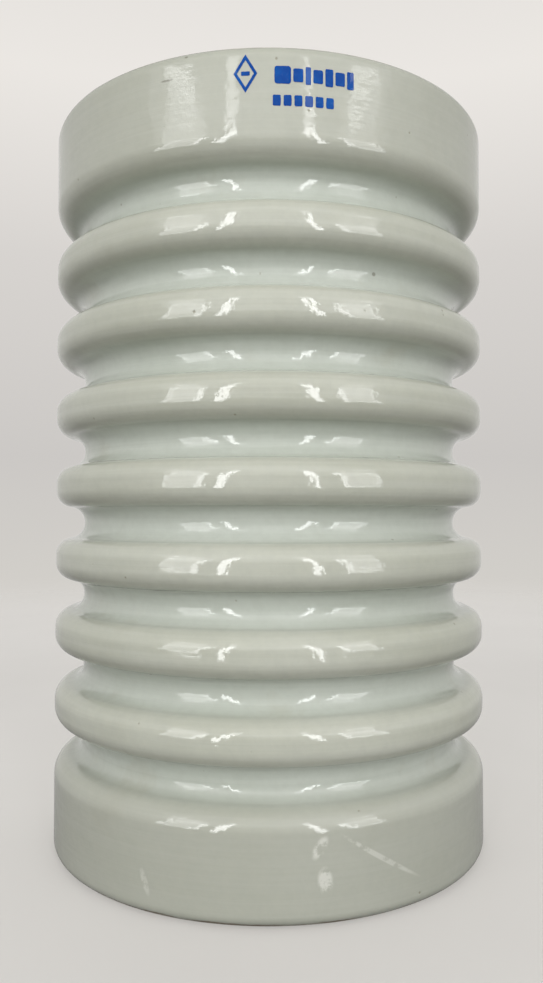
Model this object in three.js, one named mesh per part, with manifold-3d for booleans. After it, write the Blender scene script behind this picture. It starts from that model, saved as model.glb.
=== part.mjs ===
// Indoor post insulator: a solid ribbed porcelain post with four threaded metal inserts cemented
// into each end. Millimetres, +Z up, origin at the centre of the base.
//
// From the outside in, each of the eight fixing points holds:
//   insert        threaded metal bush, standing slightly proud of the porcelain end face
//   cement        grout sleeve that locks the bush into the porcelain socket
//   cushion disc  cork disc that closes the thread and keeps the bush off the socket's floor

import * as THREE from "three";
import { mergeVertices } from "three/addons/utils/BufferGeometryUtils.js";
import Module from "manifold-3d";

const wasm = await Module();
wasm.setup();

// ---- Driving dimensions ----------------------------------------------------------------------

const HEIGHT = 190.5; // over the insert faces, 7 1/2 in
const INSERT_PROUD = 0.3; // insert face above the porcelain end face
const BODY_RADIUS = 58.5; // collars and rib crests
const RIB_COUNT = 7;
const RIB_PITCH = 18.9;
const CREST_FLAT = 2; // straight part in the middle of a rib's crest, along the axis
const CREST_ROUND = 4.4; // radius at each side of a rib's crest
const COLLAR_LENGTH = 19.7; // porcelain end face to the start of the collar's inner round
const COLLAR_ROUND = 5; // radius at the inner side of each end collar
const GROOVE_DEPTH = 7.4;
const STEEPEST = 84; // slope of a groove's wall where its two rounds meet, in degrees
const END_ROUND = 2.7; // radius at the outer edge of each end face

const BOLT_CIRCLE_RADIUS = 38.1; // 3 in bolt circle
const INSERTS_PER_END = 4;
const FIRST_INSERT_ANGLE = Math.PI / INSERTS_PER_END;

const SOCKET_RADIUS = 12.7;
const SOCKET_DEPTH = 26;
const INSERT_RADIUS = 9.5;
const INSERT_WAIST_RADIUS = 8.2; // bottom of the retaining grooves round the insert
const INSERT_LENGTH = 22.5;
const THREAD_RADIUS = 5.4; // minor radius of a 1/2-13 thread
const MOUTH_RADIUS = 6.9; // countersink at the insert's face
const CEMENT_RECESS = 0.8; // cement surface below the porcelain end face
const GAP = 0.3; // left between pieces that touch

const BODY_SEGMENTS = 40;
const SOCKET_SEGMENTS = 16;
const END_STEPS = 2;
const WALL_STEPS = 3; // per round of a groove's wall

// ---- Materials -------------------------------------------------------------------------------

const glaze = new THREE.MeshStandardMaterial({ color: 0xc6c8ba, roughness: 0.12, metalness: 0 });
const zincSteel = new THREE.MeshStandardMaterial({ color: 0xa9abad, roughness: 0.38, metalness: 1 });
const grout = new THREE.MeshStandardMaterial({ color: 0x9b978d, roughness: 0.95, metalness: 0 });
const cork = new THREE.MeshStandardMaterial({ color: 0xa77f52, roughness: 0.95, metalness: 0 });

// ---- Shape helpers ---------------------------------------------------------------------------

// Points of a circular arc about (radius, height), from one angle to another, in radians.
function arc(radius, height, size, from, to) {
  return Array.from({ length: END_STEPS + 1 }, (_, i) => {
    const angle = from + ((to - from) * i) / END_STEPS;
    return new THREE.Vector2(radius + size * Math.cos(angle), height + size * Math.sin(angle));
  });
}

// A solid turned about Z from a profile of (radius, height) points, listed from bottom to top.
function turned(profile, segments) {
  const geometry = new THREE.LatheGeometry(profile, segments);
  geometry.rotateX(Math.PI / 2);
  return geometry;
}

function toSolid(geometry) {
  const bare = geometry.clone();
  bare.deleteAttribute("normal");
  bare.deleteAttribute("uv");
  const merged = mergeVertices(bare, 1e-4);
  return new wasm.Manifold(
    new wasm.Mesh({
      numProp: 3,
      vertProperties: new Float32Array(merged.attributes.position.array),
      triVerts: new Uint32Array(merged.index.array),
    }),
  );
}

function toGeometry(solid) {
  const { vertProperties, triVerts } = solid.getMesh();
  const geometry = new THREE.BufferGeometry();
  geometry.setAttribute("position", new THREE.BufferAttribute(vertProperties, 3));
  geometry.setIndex(new THREE.BufferAttribute(triVerts, 1));
  geometry.computeVertexNormals();
  return geometry;
}

function mesh(name, geometry, material) {
  const made = new THREE.Mesh(geometry, material);
  made.name = name;
  return made;
}

// ---- Porcelain body --------------------------------------------------------------------------

const PORCELAIN_BOTTOM = INSERT_PROUD;
const PORCELAIN_TOP = HEIGHT - INSERT_PROUD;
const MIDDLE = HEIGHT / 2;
const steepest = THREE.MathUtils.degToRad(STEEPEST);

// One groove wall, as steps (along the axis, inwards) from the edge of a crest down to the floor.
// The crest's round runs straight into the floor's round where the wall is steepest.
function wallSteps(crestRound) {
  const floorRound = GROOVE_DEPTH / (1 - Math.cos(steepest)) - crestRound;
  const reach = (crestRound + floorRound) * Math.sin(steepest);
  const angles = Array.from({ length: WALL_STEPS + 1 }, (_, i) => (steepest * i) / WALL_STEPS);
  const crest = angles.map((angle) => ({
    along: crestRound * Math.sin(angle),
    inwards: crestRound * (1 - Math.cos(angle)),
  }));
  const floor = angles.slice(0, -1).map((angle) => ({
    along: reach - floorRound * Math.sin(angle),
    inwards: GROOVE_DEPTH - floorRound * (1 - Math.cos(angle)),
  }));
  return [...crest, ...floor.reverse()];
}

// The whole outline, from the axis at the bottom face to the axis at the top face.
function bodyOutline() {
  const inset = BODY_RADIUS - END_ROUND;
  const points = [
    new THREE.Vector2(0, PORCELAIN_BOTTOM),
    ...arc(inset, PORCELAIN_BOTTOM + END_ROUND, END_ROUND, -Math.PI / 2, 0),
  ];
  const add = (inwards, height) => points.push(new THREE.Vector2(BODY_RADIUS - inwards, height));
  const ribMiddle = (rib) => MIDDLE + (rib - (RIB_COUNT - 1) / 2) * RIB_PITCH;
  for (let groove = 0; groove <= RIB_COUNT; groove += 1) {
    const first = groove === 0;
    const last = groove === RIB_COUNT;
    const low = first ? PORCELAIN_BOTTOM + COLLAR_LENGTH : ribMiddle(groove - 1) + CREST_FLAT / 2;
    const high = last ? PORCELAIN_TOP - COLLAR_LENGTH : ribMiddle(groove) - CREST_FLAT / 2;
    for (const step of wallSteps(first ? COLLAR_ROUND : CREST_ROUND)) add(step.inwards, low + step.along);
    for (const step of wallSteps(last ? COLLAR_ROUND : CREST_ROUND).reverse()) {
      add(step.inwards, high - step.along);
    }
  }
  points.push(
    ...arc(inset, PORCELAIN_TOP - END_ROUND, END_ROUND, 0, Math.PI / 2),
    new THREE.Vector2(0, PORCELAIN_TOP),
  );
  return points;
}

function porcelainBody() {
  const post = toSolid(turned(bodyOutline(), BODY_SEGMENTS));
  const sockets = fixingPoints().map(({ place }) => {
    const cutter = turned(
      [
        new THREE.Vector2(0, -SOCKET_DEPTH),
        new THREE.Vector2(SOCKET_RADIUS, -SOCKET_DEPTH),
        new THREE.Vector2(SOCKET_RADIUS, SOCKET_RADIUS),
        new THREE.Vector2(0, SOCKET_RADIUS),
      ],
      SOCKET_SEGMENTS,
    );
    return toSolid(cutter.applyMatrix4(place));
  });
  return toGeometry(sockets.reduce((body, socket) => body.subtract(socket), post));
}

// ---- Fixing points ---------------------------------------------------------------------------

// Each fixing point's own frame has its origin on the porcelain end face, with +Z out of the socket.
function fixingPoints() {
  const points = [];
  for (const end of ["bottom", "top"])
    for (let i = 0; i < INSERTS_PER_END; i += 1) {
      const angle = FIRST_INSERT_ANGLE + (i * 2 * Math.PI) / INSERTS_PER_END;
      const place = new THREE.Matrix4().makeTranslation(
        BOLT_CIRCLE_RADIUS * Math.cos(angle),
        BOLT_CIRCLE_RADIUS * Math.sin(angle),
        end === "top" ? PORCELAIN_TOP : PORCELAIN_BOTTOM,
      );
      if (end === "bottom") place.multiply(new THREE.Matrix4().makeRotationX(Math.PI));
      points.push({ end, number: i + 1, place });
    }
  return points;
}

const INSERT_FOOT = INSERT_PROUD - INSERT_LENGTH;
const WAISTS = [0.36, 0.72]; // middles of the retaining grooves, as shares of the length
const WAIST_WIDTH = 4.4;

// The insert's outside from foot to face, with its retaining grooves, and grown by a clearance.
function insertOutside(clearance = 0) {
  const points = [];
  for (const share of [...WAISTS].reverse()) {
    const middle = INSERT_PROUD - INSERT_LENGTH * share;
    const half = WAIST_WIDTH / 2;
    points.push(
      new THREE.Vector2(INSERT_RADIUS + clearance, middle - half - clearance / 2),
      new THREE.Vector2(INSERT_WAIST_RADIUS + clearance, middle - half / 2 - clearance / 2),
      new THREE.Vector2(INSERT_WAIST_RADIUS + clearance, middle + half / 2 + clearance / 2),
      new THREE.Vector2(INSERT_RADIUS + clearance, middle + half + clearance / 2),
    );
  }
  return points;
}

function insert() {
  const edge = 0.5; // chamfer round the face and foot
  return turned(
    [
      new THREE.Vector2(THREAD_RADIUS, INSERT_FOOT),
      new THREE.Vector2(INSERT_RADIUS - edge, INSERT_FOOT),
      new THREE.Vector2(INSERT_RADIUS, INSERT_FOOT + edge),
      ...insertOutside(),
      new THREE.Vector2(INSERT_RADIUS, INSERT_PROUD - edge),
      new THREE.Vector2(INSERT_RADIUS - edge, INSERT_PROUD),
      new THREE.Vector2(MOUTH_RADIUS, INSERT_PROUD),
      new THREE.Vector2(THREAD_RADIUS, INSERT_PROUD - (MOUTH_RADIUS - THREAD_RADIUS)),
      new THREE.Vector2(THREAD_RADIUS, INSERT_FOOT),
    ],
    SOCKET_SEGMENTS,
  );
}

const SLEEVE_FOOT = -SOCKET_DEPTH + GAP;

function cement() {
  const outer = SOCKET_RADIUS - GAP;
  const inner = INSERT_RADIUS + GAP;
  const face = -CEMENT_RECESS;
  return turned(
    [
      new THREE.Vector2(inner, SLEEVE_FOOT),
      new THREE.Vector2(outer, SLEEVE_FOOT),
      new THREE.Vector2(outer, face),
      new THREE.Vector2(inner, face),
      ...insertOutside(GAP).reverse(),
      new THREE.Vector2(inner, SLEEVE_FOOT),
    ],
    SOCKET_SEGMENTS,
  );
}

function cushionDisc() {
  return turned(
    [
      new THREE.Vector2(0, SLEEVE_FOOT),
      new THREE.Vector2(INSERT_RADIUS, SLEEVE_FOOT),
      new THREE.Vector2(INSERT_RADIUS, INSERT_FOOT - GAP),
      new THREE.Vector2(0, INSERT_FOOT - GAP),
    ],
    SOCKET_SEGMENTS,
  );
}

// ---- Assembly --------------------------------------------------------------------------------

const insulator = new THREE.Group();
insulator.add(mesh("porcelain_body", porcelainBody(), glaze));
for (const { end, number, place } of fixingPoints()) {
  const fixing = new THREE.Group();
  fixing.applyMatrix4(place);
  fixing.add(
    mesh(`${end}_insert_${number}`, insert(), zincSteel),
    mesh(`${end}_cement_${number}`, cement(), grout),
    mesh(`${end}_cushion_disc_${number}`, cushionDisc(), cork),
  );
  insulator.add(fixing);
}

export default insulator;
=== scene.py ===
"""Looks for the porcelain post insulator: glaze, ground ends, threaded inserts, grout and cork."""

import math

import bmesh
import bpy
import numpy as np
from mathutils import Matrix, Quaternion, Vector, noise

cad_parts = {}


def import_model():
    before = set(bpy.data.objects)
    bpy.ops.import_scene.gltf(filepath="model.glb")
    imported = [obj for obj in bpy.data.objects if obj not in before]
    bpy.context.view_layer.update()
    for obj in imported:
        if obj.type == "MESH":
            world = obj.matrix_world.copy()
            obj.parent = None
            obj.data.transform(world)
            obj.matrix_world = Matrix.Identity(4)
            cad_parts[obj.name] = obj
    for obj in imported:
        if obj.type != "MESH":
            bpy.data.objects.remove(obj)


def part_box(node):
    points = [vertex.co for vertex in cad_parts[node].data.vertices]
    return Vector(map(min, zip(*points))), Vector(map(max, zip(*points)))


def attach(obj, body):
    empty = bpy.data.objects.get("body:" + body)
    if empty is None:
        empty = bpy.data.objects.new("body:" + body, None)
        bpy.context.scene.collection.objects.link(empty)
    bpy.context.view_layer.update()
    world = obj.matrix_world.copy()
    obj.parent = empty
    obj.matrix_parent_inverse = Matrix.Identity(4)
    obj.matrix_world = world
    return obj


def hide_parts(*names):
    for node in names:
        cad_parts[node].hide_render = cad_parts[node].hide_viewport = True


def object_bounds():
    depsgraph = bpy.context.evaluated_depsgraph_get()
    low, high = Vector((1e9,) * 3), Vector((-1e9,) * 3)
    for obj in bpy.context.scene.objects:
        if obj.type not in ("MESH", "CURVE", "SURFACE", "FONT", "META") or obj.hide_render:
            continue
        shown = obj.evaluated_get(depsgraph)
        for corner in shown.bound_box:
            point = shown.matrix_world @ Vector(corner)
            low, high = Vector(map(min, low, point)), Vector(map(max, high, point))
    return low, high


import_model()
CAD_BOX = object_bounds()
MM = 0.001

# ---- Sizes, in millimetres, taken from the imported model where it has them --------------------

body_low, body_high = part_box("porcelain_body")
FACE_LOW = body_low.z / MM
FACE_HIGH = body_high.z / MM
HEIGHT = CAD_BOX[1].z / MM
MIDDLE = HEIGHT / 2
RADIUS = body_high.x / MM - 0.04

RIB_COUNT = 7
RIB_PITCH = 18.9
CREST_FLAT = 2.0  # straight part in the middle of a rib's crest
CREST_ROUND = 4.4  # either side of a rib's crest
COLLAR_LENGTH = 19.7  # end face to the start of the collar's inner round
COLLAR_ROUND = 5.0
GROOVE_DEPTH = 7.4
STEEPEST = math.radians(84)  # slope of a groove's wall where its two rounds meet
END_ROUND = 2.7

SOCKET_RADIUS = 12.7
SOCKET_DEPTH = 26.0
INSERT_RADIUS = 9.5
THREAD_MINOR = 5.4
THREAD_MAJOR = 6.35
THREAD_PITCH = 25.4 / 13
CEMENT_RECESS = 0.8
ENDS = ("bottom", "top")

# sides of the round meshes
BODY_SIDES = 256
SOCKET_SIDES = 64
INSERT_SIDES = 56
GROUT_SIDES = 96
CORK_SIDES = 48
FLOOR_SIDES = 64

# ---- Light and camera, from the fit of the photograph -----------------------------------------

LAMP_DISTANCE = 1.3  # metres from the post's middle to the light panels
NEAR_LAMP_DISTANCE = 0.5
FLOOR_WHOLE = 0.42  # metres from the axis: the floor is whole up to here
FLOOR_GONE = 1.0  # and faded out beyond here
BACKDROP_RADIUS = 2.9
CAMERA_UNIT = 58.5  # millimetres, the post's radius, which the camera's place is given in
CAMERA_PLACE = (0.013, -4.02, -0.122)  # from the post's middle
CAMERA_TILT = 0.0269  # radians above level
FOCAL_PIXELS = 828.6
PICTURE_PIXELS = 983
SENSOR = 36


# ---- Node materials --------------------------------------------------------------------------


class Paint:
    """A node material under construction, with short calls for the nodes it is made of."""

    def __init__(self, name):
        self.material = bpy.data.materials.new(name)
        self.material.use_nodes = True
        self.tree = self.material.node_tree
        self.shader = self.tree.nodes["Principled BSDF"]
        coordinates = self.tree.nodes.new("ShaderNodeTexCoord")
        self.place = coordinates.outputs["Object"]

    def node(self, kind, settings=None, **sockets):
        made = self.tree.nodes.new("ShaderNode" + kind)
        for key, value in (settings or {}).items():
            setattr(made, key, value)
        for key, value in sockets.items():
            index = int(key[2:]) if key.startswith("in") else key.replace("_", " ")
            self.feed(made.inputs[index], value)
        return made

    def feed(self, socket, value):
        if isinstance(value, bpy.types.NodeSocket):
            self.tree.links.new(value, socket)
        else:
            socket.default_value = value

    def math(self, operation, *values):
        made = self.node("Math", {"operation": operation})
        for socket, value in zip(made.inputs, values):
            self.feed(socket, value)
        return made.outputs[0]

    def most(self, first, *others):
        """The highest of several values at each point."""
        for other in others:
            first = self.math("MAXIMUM", first, other)
        return first

    def shaded_cells(self, scale):
        """Voronoi cells, and a random shade from 0 to 1 for each of them."""
        cells = self.cells(scale)
        return cells, self.node("SeparateColor", Color=cells["Color"]).outputs[0]

    def from_axis(self):
        """Distance from the post's axis."""
        x, y, _ = self.node("SeparateXYZ", Vector=self.place).outputs
        return self.math("SQRT", self.math("ADD", self.math("MULTIPLY", x, x), self.math("MULTIPLY", y, y)))

    def ramp(self, value, low, high, to_low=0.0, to_high=1.0):
        made = self.node(
            "MapRange", {"interpolation_type": "SMOOTHSTEP"}, Value=value, From_Min=low, From_Max=high,
            To_Min=to_low, To_Max=to_high,
        )
        return made.outputs[0]

    def stretched(self, scale):
        return self.node("Mapping", Vector=self.place, Scale=scale).outputs[0]

    def noise(self, scale, detail, rough, vector=None):
        made = self.node(
            "TexNoise", Vector=vector or self.place, Scale=scale, Detail=detail, Roughness=rough
        )
        return made.outputs["Fac"]

    def cells(self, scale, feature="F1"):
        return self.node("TexVoronoi", {"feature": feature}, Vector=self.place, Scale=scale).outputs

    def mix(self, share, first, second):
        made = self.node("Mix", {"data_type": "RGBA"})
        self.feed(made.inputs[0], share)
        for socket, value in zip((made.inputs[6], made.inputs[7]), (first, second)):
            self.feed(socket, (*value, 1) if isinstance(value, tuple) else value)
        return made.outputs[2]

    def mix_values(self, share, first, second):
        return self.node("Mix", {"data_type": "FLOAT"}, in0=share, in2=first, in3=second).outputs[0]

    def bump(self, height, distance, under=None):
        sockets = {"Height": height, "Distance": distance, "Strength": 1.0}
        if under is not None:
            sockets["Normal"] = under
        return self.node("Bump", **sockets).outputs[0]

    def finish(self, **sockets):
        for key, value in sockets.items():
            name = key.replace("_", " ")
            if isinstance(value, tuple) and len(value) == 3:
                value = (*value, 1)
            self.feed(self.shader.inputs[name], value)
        return self.material


def blob(paint, centre, size, turn=0.0):
    """1 inside a soft ellipse on the -Y side of the post, centre (across, up) in millimetres."""
    across, up = centre
    moved = paint.node("VectorMath", {"operation": "SUBTRACT"}, in0=paint.place)
    moved.inputs[1].default_value = (across * MM, 0, up * MM)
    turned = paint.node(
        "VectorRotate", {"rotation_type": "Y_AXIS"}, Vector=moved.outputs[0], Angle=turn
    )
    flat = paint.node("VectorMath", {"operation": "MULTIPLY"}, in0=turned.outputs[0])
    flat.inputs[1].default_value = (1 / (size[0] * MM), 0, 1 / (size[1] * MM))
    distance = paint.node("VectorMath", {"operation": "LENGTH"}, in0=flat.outputs[0])
    inside = paint.ramp(distance.outputs["Value"], 1.15, 0.6)
    y = paint.node("SeparateXYZ", Vector=paint.place).outputs["Y"]
    return paint.math("MULTIPLY", inside, paint.math("LESS_THAN", y, 0.0))


def glaze_waves(paint):
    """The glaze's slow waves and its finer orange peel."""
    waves = paint.bump(paint.noise(70, 1, 0.3), 0.00024)
    waves = paint.bump(paint.noise(290, 1, 0.5), 0.00006, under=waves)
    return paint.bump(paint.noise(640, 1, 0.5), 0.000028, under=waves)


def porcelain():
    """Pale grey-green glaze outside, bare ground porcelain on the end faces and in the sockets."""
    p = Paint("glazed_porcelain")
    z = p.node("SeparateXYZ", Vector=p.place).outputs["Z"]
    radius = p.from_axis()
    groove = p.ramp(radius, (RADIUS - 1.2) * MM, (RADIUS - GROOVE_DEPTH + 0.6) * MM)
    above_middle = p.math("ABSOLUTE", p.math("SUBTRACT", z, MIDDLE * MM))

    # glaze colour: thinner and warmer over the crests, thicker and cooler in the grooves
    clouds = p.noise(24, 3, 0.55)
    mottle = p.noise(420, 4, 0.65)
    turning = p.noise(1.0, 4, 0.65, p.stretched((14, 14, 1100)))
    crest_colour = p.mix(p.ramp(clouds, 0.35, 0.68), (0.548, 0.560, 0.470), (0.588, 0.600, 0.515))
    groove_colour = p.mix(p.ramp(clouds, 0.35, 0.68), (0.542, 0.580, 0.515), (0.576, 0.612, 0.552))
    glaze = p.mix(groove, crest_colour, groove_colour)
    glaze = p.mix(p.ramp(mottle, 0.35, 0.7, 0.0, 0.16), glaze, (0.41, 0.43, 0.38))
    glaze = p.mix(p.ramp(turning, 0.38, 0.66, 0.0, 0.13), glaze, (0.74, 0.75, 0.70))

    # painted shade: both collars are painted darker, the lower one more than the upper
    collar_painted_shade = p.most(p.ramp(z, 0.030, 0.022, 0.0, 0.42), p.ramp(z, 0.166, 0.172, 0.0, 0.28))
    glaze = p.mix(collar_painted_shade, glaze, (0.41, 0.42, 0.365))

    # iron specks, pinholes and faint handling grime
    specks, shade = p.shaded_cells(560)
    rare = p.math("GREATER_THAN", shade, 0.991)
    speck = p.math("MULTIPLY", rare, p.ramp(specks["Distance"], 0.24, 0.08))
    glaze = p.mix(p.math("MULTIPLY", speck, 0.5), glaze, (0.22, 0.18, 0.10))
    settled = p.ramp(groove, 0.1, 0.9, 0.12, 0.28)
    grime = p.math("MULTIPLY", p.ramp(p.noise(38, 5, 0.65), 0.56, 0.74), settled)
    glaze = p.mix(grime, glaze, (0.42, 0.40, 0.30))
    scuffs = p.most(
        blob(p, (-22.4, 184.1), (1.5, 0.32)),
        blob(p, (24.4, 143.5), (0.5, 0.5)),
        blob(p, (-18.0, 188.6), (0.45, 0.3)),
    )
    glaze = p.mix(p.math("MULTIPLY", scuffs, 0.62), glaze, (0.17, 0.16, 0.12))

    # painted reflections: pale streaks of reflected light painted on the lower collar
    broken = p.ramp(p.noise(330, 4, 0.7), 0.38, 0.54)
    painted_reflection_streaks = p.most(
        blob(p, (11.1, 17.2), (1.3, 2.8), -0.55),
        blob(p, (12.2, 10.2), (1.7, 3.0), 0.10),
        p.math("MULTIPLY", blob(p, (24.6, 13.5), (11.0, 0.6), -0.60), 0.65),
        p.math("MULTIPLY", blob(p, (-27.0, 7.8), (0.8, 3.2), 0.3), 0.5),
    )
    painted_reflections = p.math("MULTIPLY", p.math("MULTIPLY", painted_reflection_streaks, broken), 0.7)
    glaze = p.mix(painted_reflections, glaze, (0.84, 0.84, 0.77))

    # bare ends: matte, cream, with grinding rings, and a brown ragged line where the glaze stops
    ragged = p.math("MULTIPLY", p.math("SUBTRACT", p.noise(120, 4, 0.6), 0.5), 0.0016)
    depth = p.math("SUBTRACT", (FACE_HIGH - MIDDLE) * MM, above_middle)
    depth = p.math("ADD", depth, ragged)
    bare = p.ramp(depth, 0.00075, 0.00045)
    inside = p.math("LESS_THAN", radius, (RADIUS - GROOVE_DEPTH - 2) * MM)
    bare = p.most(bare, inside)
    along_radius = p.node("CombineXYZ", X=p.math("MULTIPLY", radius, 1600)).outputs[0]
    rings = p.noise(1.0, 2, 0.5, along_radius)
    biscuit = p.mix(p.noise(60, 5, 0.6), (0.70, 0.68, 0.61), (0.58, 0.555, 0.485))
    biscuit = p.mix(p.ramp(rings, 0.4, 0.7, 0.0, 0.16), biscuit, (0.40, 0.385, 0.345))
    stain = p.ramp(p.noise(34, 4, 0.6), 0.56, 0.72, 0.0, 0.45)
    biscuit = p.mix(stain, biscuit, (0.27, 0.21, 0.14))
    line = p.math("MULTIPLY", p.ramp(depth, 0.0001, 0.0006), p.ramp(depth, 0.0013, 0.0008))
    line = p.math("MULTIPLY", line, p.ramp(p.noise(90, 3, 0.6), 0.36, 0.62, 0.25, 0.9))
    line = p.math("MULTIPLY", line, p.ramp(z, MIDDLE * MM, (MIDDLE + 1) * MM, 1.0, 0.15))
    colour = p.mix(bare, glaze, biscuit)
    colour = p.mix(line, colour, (0.17, 0.115, 0.065))

    # dust film dulls the gloss in patches; the bare porcelain has none
    dust = p.ramp(p.noise(70, 5, 0.6), 0.45, 0.78, 0.025, 0.09)
    shine = p.mix_values(bare, dust, 0.82)
    lines = p.bump(turning, 0.000025, under=glaze_waves(p))
    pits = p.bump(p.math("MULTIPLY", speck, -1), 0.00008, under=lines)
    tooth = p.math("MULTIPLY", bare, p.math("ADD", rings, p.noise(2600, 3, 0.6)))
    normal = p.bump(tooth, 0.00004, under=pits)
    return p.finish(Base_Color=colour, Roughness=shine, Normal=normal, Metallic=0.0, IOR=1.52)


def ink():
    """Blue ceramic ink under the glaze, thin where the stamp lifted."""
    p = Paint("blue_ink_glazed")
    thin = p.ramp(p.noise(900, 4, 0.65), 0.55, 0.78, 0.0, 0.3)
    patch = p.ramp(p.noise(220, 2, 0.5), 0.4, 0.7)
    colour = p.mix(patch, (0.0, 0.060, 0.33), (0.0, 0.088, 0.40))
    colour = p.mix(thin, colour, (0.08, 0.22, 0.46))
    rough = p.ramp(p.noise(70, 5, 0.6), 0.45, 0.78, 0.03, 0.10)
    return p.finish(
        Base_Color=colour, Roughness=rough, Normal=glaze_waves(p), Metallic=0.0, IOR=1.52,
        Specular_IOR_Level=0.16,
    )


def zinc_steel():
    """Zinc-plated steel: dull spangle, pale bloom and patches of brown tarnish."""
    p = Paint("zinc_plated_steel")
    _, grain = p.shaded_cells(700)
    colour = p.mix(p.ramp(grain, 0.0, 1.0), (0.46, 0.47, 0.48), (0.60, 0.61, 0.62))
    bloom = p.ramp(p.noise(300, 5, 0.65), 0.48, 0.7)
    colour = p.mix(p.math("MULTIPLY", bloom, 0.55), colour, (0.55, 0.55, 0.52))
    tarnish = p.ramp(p.noise(130, 5, 0.7), 0.55, 0.72)
    colour = p.mix(p.math("MULTIPLY", tarnish, 0.5), colour, (0.23, 0.18, 0.13))
    rough = p.mix_values(bloom, p.ramp(grain, 0, 1, 0.26, 0.40), 0.62)
    normal = p.bump(p.noise(2400, 3, 0.6), 0.00002)
    return p.finish(Base_Color=colour, Roughness=rough, Normal=normal, Metallic=1.0)


def grout():
    """Sanded Portland cement: grey-buff paste, dark and pale sand grains, fine pores."""
    p = Paint("sanded_grout")
    paste = p.mix(p.noise(180, 5, 0.65), (0.40, 0.375, 0.325), (0.275, 0.26, 0.23))
    sand, shade = p.shaded_cells(1500)
    dark = p.math("MULTIPLY", p.math("GREATER_THAN", shade, 0.8), 0.5)
    pale = p.math("MULTIPLY", p.math("LESS_THAN", shade, 0.15), 0.5)
    colour = p.mix(dark, paste, (0.15, 0.13, 0.11))
    colour = p.mix(pale, colour, (0.62, 0.60, 0.55))
    normal = p.bump(p.math("MULTIPLY", sand["Distance"], -1), 0.00012)
    normal = p.bump(p.noise(3200, 4, 0.7), 0.00006, under=normal)
    rough = p.ramp(p.noise(400, 3, 0.5), 0.3, 0.7, 0.86, 0.97)
    return p.finish(Base_Color=colour, Roughness=rough, Normal=normal, Metallic=0.0)


def cork():
    """Composition cork: tan granules with dark bark flecks between them."""
    p = Paint("composition_cork")
    _, shade = p.shaded_cells(1100)
    colour = p.mix(shade, (0.46, 0.27, 0.11), (0.30, 0.155, 0.055))
    seam = p.ramp(p.cells(1100, "DISTANCE_TO_EDGE")["Distance"], 0.10, 0.02)
    colour = p.mix(p.math("MULTIPLY", seam, 0.7), colour, (0.07, 0.035, 0.015))
    normal = p.bump(p.math("SUBTRACT", 1.0, seam), 0.00012)
    rough = p.ramp(p.noise(900, 3, 0.6), 0.3, 0.7, 0.84, 0.96)
    return p.finish(Base_Color=colour, Roughness=rough, Normal=normal, Metallic=0.0)


# ---- Mesh helpers ----------------------------------------------------------------------------


def in_scene(name, data):
    made = bpy.data.objects.new(name, data)
    bpy.context.scene.collection.objects.link(made)
    return made


def piece(name, vertices, faces, material, crease=35):
    """A closed mesh piece riding on the post. Vertices come in millimetres."""
    data = bpy.data.meshes.new(name)
    data.from_pydata([tuple(v * MM for v in vertex) for vertex in vertices], [], faces)
    data.materials.append(material)
    work = bmesh.new()
    work.from_mesh(data)
    bmesh.ops.remove_doubles(work, verts=work.verts, dist=1e-7)
    bmesh.ops.recalc_face_normals(work, faces=work.faces)
    for face in work.faces:
        face.smooth = True
    for edge in work.edges:
        edge.smooth = edge.calc_face_angle(0) < math.radians(crease)
    work.to_mesh(data)
    work.free()
    made = in_scene(name, data)
    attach(made, "root")
    return made


def ring_faces(rows, around, closed):
    """Quads joining rows of ring vertices, with the rows in a loop or not."""
    faces = []
    for row in range(rows if closed else rows - 1):
        here, there = row * around, (row + 1) % rows * around
        for i in range(around):
            j = (i + 1) % around
            faces.append((here + i, here + j, there + j, there + i))
    return faces


def arc(radius, height, size, start, end, steps):
    return [
        (radius + size * math.cos(a), height + size * math.sin(a))
        for a in np.linspace(start, end, steps + 1)
    ]


def dense(points, step):
    """The same outline with points no further apart than step."""
    out = [points[0]]
    for a, b in zip(points[:-1], points[1:]):
        count = max(1, math.ceil(math.dist(a, b) / step))
        out += [
            (a[0] + (b[0] - a[0]) * k / count, a[1] + (b[1] - a[1]) * k / count)
            for k in range(1, count + 1)
        ]
    return out


def fixing_centre(end, number):
    low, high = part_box(f"{end}_insert_{number}")
    return (low.x + high.x) / 2 / MM, (low.y + high.y) / 2 / MM


def placed(points, end, number):
    """Points of a fixing's own frame, origin on the porcelain face and +Z out of it, put in place."""
    x, y = fixing_centre(end, number)
    if end == "top":
        return [(x + p[0], y + p[1], FACE_HIGH + p[2]) for p in points]
    return [(x + p[0], y - p[1], FACE_LOW - p[2]) for p in points]


def circle(x, y, radius, z, sides):
    turns = [2 * math.pi * k / sides for k in range(sides)]
    return [(x + radius * math.cos(a), y + radius * math.sin(a), z) for a in turns]


# ---- Porcelain body --------------------------------------------------------------------------

def wall(crest_round):
    """One groove wall from the edge of a crest to the floor, as (along the axis, inwards) steps."""
    floor_round = GROOVE_DEPTH / (1 - math.cos(STEEPEST)) - crest_round
    reach = (crest_round + floor_round) * math.sin(STEEPEST)
    angles = np.linspace(0, STEEPEST, 13)
    crest = [(crest_round * math.sin(a), crest_round * (1 - math.cos(a))) for a in angles]
    floor = [
        (reach - floor_round * math.sin(a), GROOVE_DEPTH - floor_round * (1 - math.cos(a)))
        for a in angles[-2::-1]
    ]
    return crest + floor


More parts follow.
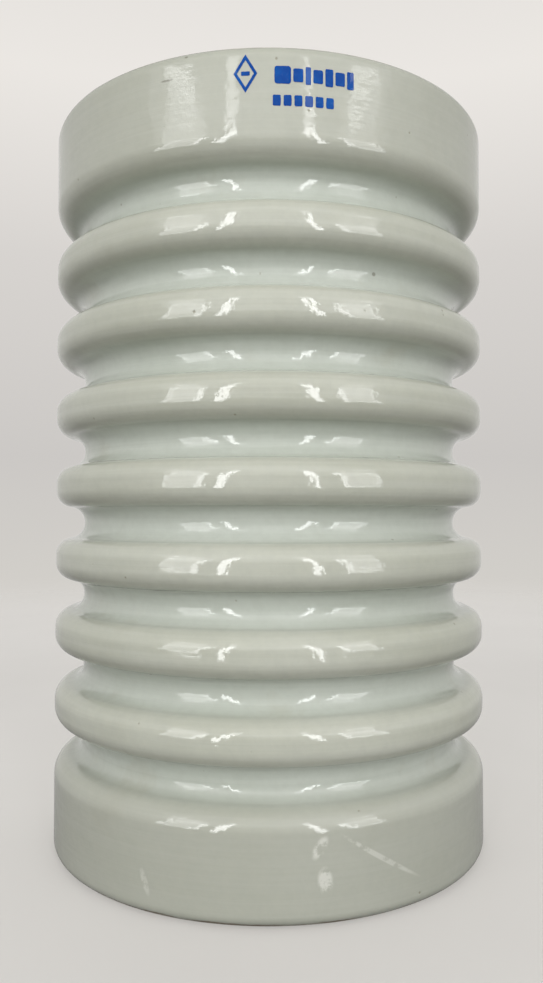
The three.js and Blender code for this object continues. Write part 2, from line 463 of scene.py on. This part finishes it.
def outline():
    """(radius, height) from the bottom face's rim to the top face's rim."""
    inset = RADIUS - END_ROUND
    points = arc(inset, FACE_LOW + END_ROUND, END_ROUND, -math.pi / 2, 0, 8)
    ribs = [MIDDLE + (i - (RIB_COUNT - 1) / 2) * RIB_PITCH for i in range(RIB_COUNT)]
    lows = [FACE_LOW + COLLAR_LENGTH] + [rib + CREST_FLAT / 2 for rib in ribs]
    highs = [rib - CREST_FLAT / 2 for rib in ribs] + [FACE_HIGH - COLLAR_LENGTH]
    rounds = [COLLAR_ROUND] + [CREST_ROUND] * RIB_COUNT + [COLLAR_ROUND]
    for groove, (low, high) in enumerate(zip(lows, highs)):
        points += [(RADIUS - inwards, low + along) for along, inwards in wall(rounds[groove])]
        upper = wall(rounds[groove + 1])[::-1]
        points += [(RADIUS - inwards, high - along) for along, inwards in upper]
    points += arc(inset, FACE_HIGH - END_ROUND, END_ROUND, 0, math.pi / 2, 8)
    return dense(points, 0.9)


def fired_radius(radius, height, angle):
    """Hand-turned and fired: a slow ripple of a few hundredths of a millimetre, none on the end faces."""
    if radius < RADIUS - END_ROUND + 0.1 and not FACE_LOW + 3 < height < FACE_HIGH - 3:
        return radius
    calm = min(1.0, RADIUS - radius + 0.5)
    where = Vector((math.cos(angle) * radius, math.sin(angle) * radius, height)) * 0.045
    return radius - 0.05 - 0.05 * noise.noise(where) * calm


def socket_rows(face_z, sign):
    """(radius, height) down one bolt socket, from its rounded mouth to its floor."""
    mouth = 0.5
    rows = [(SOCKET_RADIUS + mouth, face_z)]
    rows += [
        (SOCKET_RADIUS + mouth * (1 - math.sin(t)), face_z - sign * mouth * (1 - math.cos(t)))
        for t in np.linspace(0, math.pi / 2, 4)[1:]
    ]
    return rows + [(SOCKET_RADIUS, face_z - sign * SOCKET_DEPTH)]


def flat_with_holes(vertices, loops):
    """Triangles filling the outer loop of vertices around the loops inside it."""
    flat = bmesh.new()
    number_of = {}
    for loop in loops:
        ring = [flat.verts.new(vertices[v]) for v in loop]
        number_of.update(zip(ring, loop))
        for a, b in zip(ring, ring[1:] + ring[:1]):
            flat.edges.new((a, b))
    bmesh.ops.triangle_fill(flat, use_beauty=True, use_dissolve=False, edges=flat.edges)
    faces = [tuple(number_of[v] for v in face.verts) for face in flat.faces]
    flat.free()
    return faces


def porcelain_body(material):
    vertices = []
    profile = outline()
    for radius, height in profile:
        for i in range(BODY_SIDES):
            a = 2 * math.pi * i / BODY_SIDES
            r = fired_radius(radius, height, a)
            vertices.append((r * math.cos(a), r * math.sin(a), height))
    faces = ring_faces(len(profile), BODY_SIDES, False)

    last_ring = (len(profile) - 1) * BODY_SIDES
    for face_z, sign, rim in ((FACE_LOW, -1, 0), (FACE_HIGH, 1, last_ring)):
        end = "top" if sign > 0 else "bottom"
        loops = [[rim + i for i in range(BODY_SIDES)]]
        rows = socket_rows(face_z, sign)
        for number in range(1, 5):
            cx, cy = fixing_centre(end, number)
            first = len(vertices)
            for r, z in rows:
                vertices += circle(cx, cy, r, z, SOCKET_SIDES)
            faces += [tuple(first + v for v in f) for f in ring_faces(len(rows), SOCKET_SIDES, False)]
            floor_ring = first + (len(rows) - 1) * SOCKET_SIDES
            faces.append(tuple(floor_ring + k for k in range(SOCKET_SIDES)))
            loops.append([first + k for k in range(SOCKET_SIDES)])
        faces += flat_with_holes(vertices, loops)
    return piece("porcelain_post", vertices, faces, material, crease=50)


# ---- Fixings ---------------------------------------------------------------------------------


def revolved(rows, around, shift):
    """Ring vertices for an outline, each moved to what shift(radius, height, angle) gives."""
    out = []
    for radius, height in rows:
        for i in range(around):
            a = 2 * math.pi * i / around
            r, z = shift(radius, height, a)
            out.append((r * math.cos(a), r * math.sin(a), z))
    return out


def threaded_insert(end, number, material):
    low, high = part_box(f"{end}_insert_{number}")
    length = (high.z - low.z) / MM
    face = length - (FACE_HIGH - low.z / MM) if end == "top" else FACE_LOW - low.z / MM
    foot = face - length
    outside = [(INSERT_RADIUS - 0.5, foot), (INSERT_RADIUS, foot + 0.5)]
    for share in (0.72, 0.36):
        middle = face - length * share
        outside += [
            (INSERT_RADIUS, middle - 2.2), (8.3, middle - 1.1),
            (8.3, middle + 1.1), (INSERT_RADIUS, middle + 2.2),
        ]
    outside += arc(INSERT_RADIUS - 0.45, face - 0.45, 0.45, 0, math.pi / 2, 4)
    outside += [(8.4, face), (7.8, face), (7.35, face)]
    mouth = [(7.15, face - 0.08), (7.0, face - 0.25)]
    bore_top, bore_foot = face - 0.35, foot + 0.02
    count = math.ceil((bore_top - bore_foot) / THREAD_PITCH * 12)
    bore = [(THREAD_MINOR, bore_top + (bore_foot - bore_top) * k / count) for k in range(count + 1)]
    rows = [(THREAD_MINOR, foot)] + dense(outside, 1.4) + mouth + bore

    def thread(radius, height, angle):
        if radius > THREAD_MINOR:
            return radius, height
        turn = (height / THREAD_PITCH - angle / (2 * math.pi)) % 1.0
        groove = min(1.0, max(0.0, 1.35 - 3.0 * abs(turn - 0.5)))
        depth = (THREAD_MAJOR - THREAD_MINOR) * groove * min(1.0, max(0.0, (height - foot) / 1.5))
        flare = max(0.0, 1.6 - (face - 0.35 - height)) if height > face - 2.2 else 0.0
        return max(THREAD_MINOR + depth, min(THREAD_MINOR + flare, 6.95)), height

    vertices = placed(revolved(rows, INSERT_SIDES, thread), end, number)
    made = piece(
        f"{end}_insert_{number}_threaded", vertices, ring_faces(len(rows), INSERT_SIDES, True), material,
        crease=32,
    )
    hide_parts(f"{end}_insert_{number}")


def grout_sleeve(end, number, material):
    outer, inner = SOCKET_RADIUS - 0.02, INSERT_RADIUS + 0.02
    low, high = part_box(f"{end}_cement_{number}")
    foot = -(high.z - low.z) / MM - CEMENT_RECESS
    seed = Vector((number * 7.3, 3.1 if end == "top" else 9.7, 0))
    surface = [(outer + (inner - outer) * k / 12, -CEMENT_RECESS) for k in range(13)]
    rows = dense([(inner, foot), (outer, foot), (outer, -3.0)], 6) + surface + [(inner, -3.0)]

    def trowelled(radius, height, angle):
        if height < -CEMENT_RECESS - 0.01:
            return radius, height
        where = Vector((math.cos(angle) * radius, math.sin(angle) * radius, 0))
        share = (radius - inner) / (outer - inner)
        climb = 0.28 * (2 * share - 1) ** 4  # paste drawn up both walls
        lump = 0.16 * noise.noise(where * 0.45 + seed) + 0.07 * noise.noise(where * 2.1 + seed)
        return radius, height + climb + lump

    vertices = placed(revolved(rows, GROUT_SIDES, trowelled), end, number)
    faces = ring_faces(len(rows), GROUT_SIDES, True)
    made = piece(f"{end}_cement_{number}_sanded", vertices, faces, material)
    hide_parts(f"{end}_cement_{number}")


def cork_disc(end, number, material):
    low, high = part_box(f"{end}_cushion_disc_{number}")
    if end == "top":
        foot, face = low.z / MM - FACE_HIGH, high.z / MM - FACE_HIGH
    else:
        foot, face = FACE_LOW - high.z / MM, FACE_LOW - low.z / MM
    radius = INSERT_RADIUS
    rim = arc(radius - 0.3, foot + 0.3, 0.3, -math.pi / 2, 0, 3)
    rim += arc(radius - 0.3, face - 0.3, 0.3, 0, math.pi / 2, 3)
    top = [(radius - 0.3 - (radius - 0.4) * k / 10, face) for k in range(1, 11)]
    rows = [(0.1, foot)] + dense(rim, 1.5) + top

    def granular(r, z, angle):
        if z < face - 0.01:
            return r, z
        where = Vector((math.cos(angle) * r, math.sin(angle) * r, number * 4.0))
        return r, z - 0.12 - 0.11 * noise.noise(where * 1.3)

    vertices = placed(revolved(rows, CORK_SIDES, granular), end, number)
    faces = ring_faces(len(rows), CORK_SIDES, False)
    last = (len(rows) - 1) * CORK_SIDES
    faces += [tuple(range(CORK_SIDES)), tuple(last + k for k in range(CORK_SIDES))]
    made = piece(f"{end}_cushion_disc_{number}_cork", vertices, faces, material)
    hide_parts(f"{end}_cushion_disc_{number}")


# ---- Printed mark ----------------------------------------------------------------------------

def printed(name, grid, columns, closed, material):
    """A patch of ink on the collar. grid holds (across, up) rows of points, in millimetres."""
    rows = len(grid) // columns
    vertices = []
    for lift in (-0.02, 0.015):
        for across, up in grid:
            a = across / RADIUS
            r = RADIUS + lift
            vertices.append((r * math.sin(a), -r * math.cos(a), up))
    count = len(grid)
    faces, span = [], columns if closed else columns - 1
    for row in range(rows - 1):
        for i in range(span):
            j = (i + 1) % columns
            low, high = row * columns, (row + 1) * columns
            quad = (low + i, low + j, high + j, high + i)
            faces.append(quad[::-1])
            faces.append(tuple(v + count for v in quad))
    border = []
    for i in range(span):
        border.append((i, (i + 1) % columns))
        last = (rows - 1) * columns
        border.append((last + (i + 1) % columns, last + i))
    if not closed:
        for row in range(rows - 1):
            border.append(((row + 1) * columns, row * columns))
            border.append((row * columns + columns - 1, (row + 1) * columns + columns - 1))
    faces += [(a, b, b + count, a + count) for a, b in border]
    return piece(name, vertices, faces, material, crease=60)


def ink_bar(name, centre, size, material):
    """A bar with rounded ends, its edge a little uneven as a rubber stamp leaves it."""
    columns, rows = 41, 9
    grid = []
    half_w, half_h = size[0] / 2, size[1] / 2
    for row in range(rows):
        v = -1 + 2 * row / (rows - 1)
        for column in range(columns):
            u = -1 + 2 * column / (columns - 1)
            corner = min(half_w, half_h) * 0.35
            reach = half_h
            edge = half_w - abs(u) * half_w
            if edge < corner:
                reach = half_h - corner + math.sqrt(max(0.0, corner**2 - (corner - edge) ** 2))
            x, z = centre[0] + u * half_w, centre[1] + v * reach
            wobble = 0.05 * noise.noise(Vector((x * 2.3, z * 2.3, 1.7)))
            grid.append((x + wobble, z + wobble * v))
    return printed(name, grid, columns, False, material)


def ink_ring(name, centre, size, width, corners, material):
    """An outlined figure with that many corners, width thick."""
    columns, rows = 96, 4
    sector = 2 * math.pi / corners
    grid = []
    for row in range(rows):
        share = 1 - row * width / min(size) / (rows - 1) * 2
        for column in range(columns):
            a = 2 * math.pi * column / columns
            reach = math.cos(sector / 2) / math.cos(a % sector - sector / 2)
            wobble = 0.03 * noise.noise(Vector((math.cos(a) * 3, math.sin(a) * 3, row * 0.4)))
            x = centre[0] + (size[0] / 2 * reach * share + wobble) * math.sin(a)
            grid.append((x, centre[1] + (size[1] / 2 * reach * share + wobble) * math.cos(a)))
    return printed(name, grid, columns, True, material)


def mark(material):
    """A generic stamp where such posts carry one: an open diamond and two rows of plain bars."""
    ink_ring("stamp_diamond", (-4.9, 183.4), (5.2, 8.4), 0.75, 4, material)
    ink_bar("stamp_diamond_bar", (-4.9, 183.4), (1.9, 0.9), material)
    x = 1.4
    for i, width in enumerate((3.6, 2.2, 1.2, 2.2, 1.8, 2.2, 1.6)):
        height = 3.9 if i % 2 == 0 else 3.0
        ink_bar(f"stamp_upper_{i + 1}", (x + width / 2, 183.1), (width, height), material)
        x += width + 0.5
    for i in range(6):
        ink_bar(f"stamp_lower_{i + 1}", (1.9 + i * 2.35, 177.5), (1.75, 2.4), material)


# ---- Stage, light and camera -----------------------------------------------------------------


def only_seen(made):
    """Keeps a stage piece in the picture, and keeps it from lighting or shading the post."""
    made.visible_diffuse = False
    made.visible_glossy = False
    made.visible_shadow = False


def floor():
    """A wide pale studio floor that fades into the backdrop far away."""
    p = Paint("studio_floor")
    cloud = p.noise(7, 3, 0.5)
    colour = p.mix(p.ramp(cloud, 0.3, 0.7), (0.40, 0.385, 0.37), (0.43, 0.415, 0.40))
    p.finish(
        Base_Color=colour, Roughness=0.85, Metallic=0.0, Emission_Color=(1.0, 0.975, 0.93),
        Emission_Strength=0.33,
    )
    clear = p.node("BsdfTransparent")
    fade = p.node("MixShader", Fac=p.ramp(p.from_axis(), FLOOR_WHOLE, FLOOR_GONE))
    p.tree.links.new(p.shader.outputs[0], fade.inputs[1])
    p.tree.links.new(clear.outputs[0], fade.inputs[2])
    p.tree.links.new(fade.outputs[0], p.tree.nodes["Material Output"].inputs[0])
    radii = [0.02 * 1.35**k for k in range(18)]
    vertices = [(0.0, 0.0, 0.0)]
    for r in radii:
        vertices += circle(0, 0, r, 0, FLOOR_SIDES)
    faces = [(0, 1 + i, 1 + (i + 1) % FLOOR_SIDES) for i in range(FLOOR_SIDES)]
    faces += [tuple(1 + v for v in f) for f in ring_faces(len(radii), FLOOR_SIDES, False)]
    data = bpy.data.meshes.new("studio_floor")
    data.from_pydata(vertices, [], faces)
    data.materials.append(p.material)
    only_seen(in_scene("studio_floor", data))


def ramp_by_height(nodes, links, direction, stops):
    """Colours by the height of a unit direction, -1 straight down to 1 straight up."""
    split = nodes.new("ShaderNodeSeparateXYZ")
    links.new(direction, split.inputs[0])
    ramp = nodes.new("ShaderNodeValToRGB")
    to_share = nodes.new("ShaderNodeMapRange")
    to_share.inputs["From Min"].default_value = -1
    links.new(split.outputs["Z"], to_share.inputs["Value"])
    links.new(to_share.outputs[0], ramp.inputs[0])
    while len(ramp.color_ramp.elements) < len(stops):
        ramp.color_ramp.elements.new(0.5)
    for element, (height, colour) in zip(ramp.color_ramp.elements, stops):
        element.position = (height + 1) / 2
        element.color = (*colour, 1)
    return ramp.outputs[0]


def backdrop():
    """A pale dome behind everything, which lights nothing."""
    p = Paint("backdrop_paper")
    nodes, links = p.tree.nodes, p.tree.links
    direction = p.node("VectorMath", {"operation": "NORMALIZE"}, in0=p.place).outputs[0]
    # the dome glows; its darker band just above level is painted shade
    stops = [
        (-0.3, (0.68, 0.655, 0.62)),
        (-0.05, (0.64, 0.62, 0.585)),
        (0.10, (0.60, 0.58, 0.56)),
        (0.34, (0.68, 0.655, 0.63)),
        (0.52, (0.83, 0.80, 0.765)),
        (1.0, (0.60, 0.59, 0.58)),
    ]
    glow = p.node("Emission", Color=ramp_by_height(nodes, links, direction, stops))
    links.new(glow.outputs[0], nodes["Material Output"].inputs[0])
    data = bpy.data.meshes.new("backdrop")
    work = bmesh.new()
    bmesh.ops.create_uvsphere(work, u_segments=48, v_segments=24, radius=BACKDROP_RADIUS)
    for face in work.faces:
        face.smooth = True
    work.to_mesh(data)
    work.free()
    data.materials.append(p.material)
    only_seen(in_scene("backdrop", data))


def world():
    """The room's soft light: from the front brightest a little above level, and even behind."""
    made = bpy.data.worlds.new("pale_studio")
    made.use_nodes = True
    nodes, links = made.node_tree.nodes, made.node_tree.links
    direction = nodes.new("ShaderNodeTexCoord").outputs["Generated"]
    front = [
        (-1.0, (0.03, 0.03, 0.027)),
        (-0.16, (0.035, 0.035, 0.03)),
        (-0.05, (0.13, 0.13, 0.125)),
        (0.0, (0.19, 0.187, 0.183)),
        (0.28, (0.46, 0.455, 0.445)),
        (0.5, (0.58, 0.57, 0.56)),
        (0.78, (0.24, 0.24, 0.24)),
    ]
    behind = [
        (-1.0, (0.10, 0.10, 0.095)),
        (-0.4, (0.26, 0.255, 0.25)),
        (-0.05, (0.68, 0.67, 0.65)),
        (0.4, (0.72, 0.71, 0.69)),
        (0.8, (0.30, 0.30, 0.30)),
    ]
    split = nodes.new("ShaderNodeSeparateXYZ")
    links.new(direction, split.inputs[0])
    side = nodes.new("ShaderNodeMapRange")
    side.interpolation_type = "SMOOTHSTEP"
    side.inputs["From Min"].default_value = -0.25
    side.inputs["From Max"].default_value = 0.35
    links.new(split.outputs["Y"], side.inputs["Value"])
    blend = nodes.new("ShaderNodeMix")
    blend.data_type = "RGBA"
    links.new(side.outputs[0], blend.inputs[0])
    links.new(ramp_by_height(nodes, links, direction, front), blend.inputs[6])
    links.new(ramp_by_height(nodes, links, direction, behind), blend.inputs[7])
    links.new(blend.outputs[2], nodes["Background"].inputs[0])
    nodes["Background"].inputs[1].default_value = 1.0
    bpy.context.scene.world = made


def softbox(name, azimuth, elevation, distance, width, height, radiance, roll=0.0):
    """A light panel aimed at the post. Azimuth runs from -Y towards +X; sizes in degrees."""
    a, e = math.radians(azimuth), math.radians(elevation)
    centre = Vector((0, 0, MIDDLE * MM))
    away = Vector((math.sin(a) * math.cos(e), -math.cos(a) * math.cos(e), math.sin(e)))
    data = bpy.data.lights.new(name, "AREA")
    data.shape = "RECTANGLE"
    data.size = 2 * distance * math.tan(math.radians(width / 2))
    data.size_y = 2 * distance * math.tan(math.radians(height / 2))
    data.energy = radiance * math.pi * data.size * data.size_y
    made = in_scene(name, data)
    made.location = centre + away * distance
    made.rotation_mode = "QUATERNION"
    made.rotation_quaternion = away.to_track_quat("Z", "Y") @ Quaternion((0, 0, 1), math.radians(roll))
    made.visible_camera = False
    return made


def strip(name, azimuth, roll):
    """A narrow leaning light, dimmer above. The azimuth is the light's at 15 degrees up."""
    for part, elevation, height, radiance in (("lower", 6.75, 39.5, 10.0), ("upper", 30.75, 8.5, 3.5)):
        lean = math.tan(math.radians(-roll)) * (elevation - 15)
        softbox(f"{name}_{part}", azimuth + lean, elevation, LAMP_DISTANCE, 3.9, height, radiance, roll)


def window(name, azimuth, side, roll, sky):
    """A pane in a brighter frame, seen only in the glaze. side is -1 on the left, 1 on the right."""
    for part, aside, elevation, width, height, radiance in (
        ("sky", 0, 23.5, 19, 13, sky),
        ("pane", 0, 6, 19, 26, 2.7),
        ("inner", -side * 9, 6, 3.0, 26, 5.0),
        ("outer", side * 9, 6, 2.2, 26, 2.5),
        ("head", side * 3, 31, 15, 1.8, 5.0),
        ("sill", 0, -7, 19, 3, 3.5),
    ):
        made = softbox(
            f"{name}_{part}", azimuth + aside, elevation, LAMP_DISTANCE, width, height, radiance, roll
        )
        made.visible_diffuse = False


def lights():
    strip("strip_left", -20, -9)
    strip("strip_right", 21, 9)
    window("window_left", -41.5, -1, -12, 1.9)
    window("window_right", 45.5, 1, 12, 1.0)
    softbox("front", 0, 34, NEAR_LAMP_DISTANCE, 98, 52, 0.68)
    softbox("fill", 0, 10, LAMP_DISTANCE, 114, 30, 0.75).visible_glossy = False
    softbox("back_strip", 180, -8, LAMP_DISTANCE, 5, 22, 9.0)
    softbox("back_fill", 180, 35, LAMP_DISTANCE, 80, 50, 0.9).visible_glossy = False


def camera():
    data = bpy.data.cameras.new("camera")
    data.sensor_fit = "AUTO"
    data.sensor_width = SENSOR
    data.lens = SENSOR * FOCAL_PIXELS / PICTURE_PIXELS
    data.clip_start = 0.01
    made = in_scene("camera", data)
    x, y, z = (share * CAMERA_UNIT for share in CAMERA_PLACE)
    made.location = (x * MM, y * MM, (MIDDLE + z) * MM)
    made.rotation_euler = (math.pi / 2 + CAMERA_TILT, 0, 0)
    bpy.context.scene.camera = made


# ---- Put it together -------------------------------------------------------------------------

post = porcelain_body(porcelain())
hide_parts("porcelain_body")
steel, sand_grout, cork_board = zinc_steel(), grout(), cork()
for end in ENDS:
    for number in range(1, 5):
        threaded_insert(end, number, steel)
        grout_sleeve(end, number, sand_grout)
        cork_disc(end, number, cork_board)
mark(ink())

floor()
backdrop()
world()
lights()
camera()
bpy.context.scene.view_settings.view_transform = "Standard"
bpy.context.scene.view_settings.look = "None"
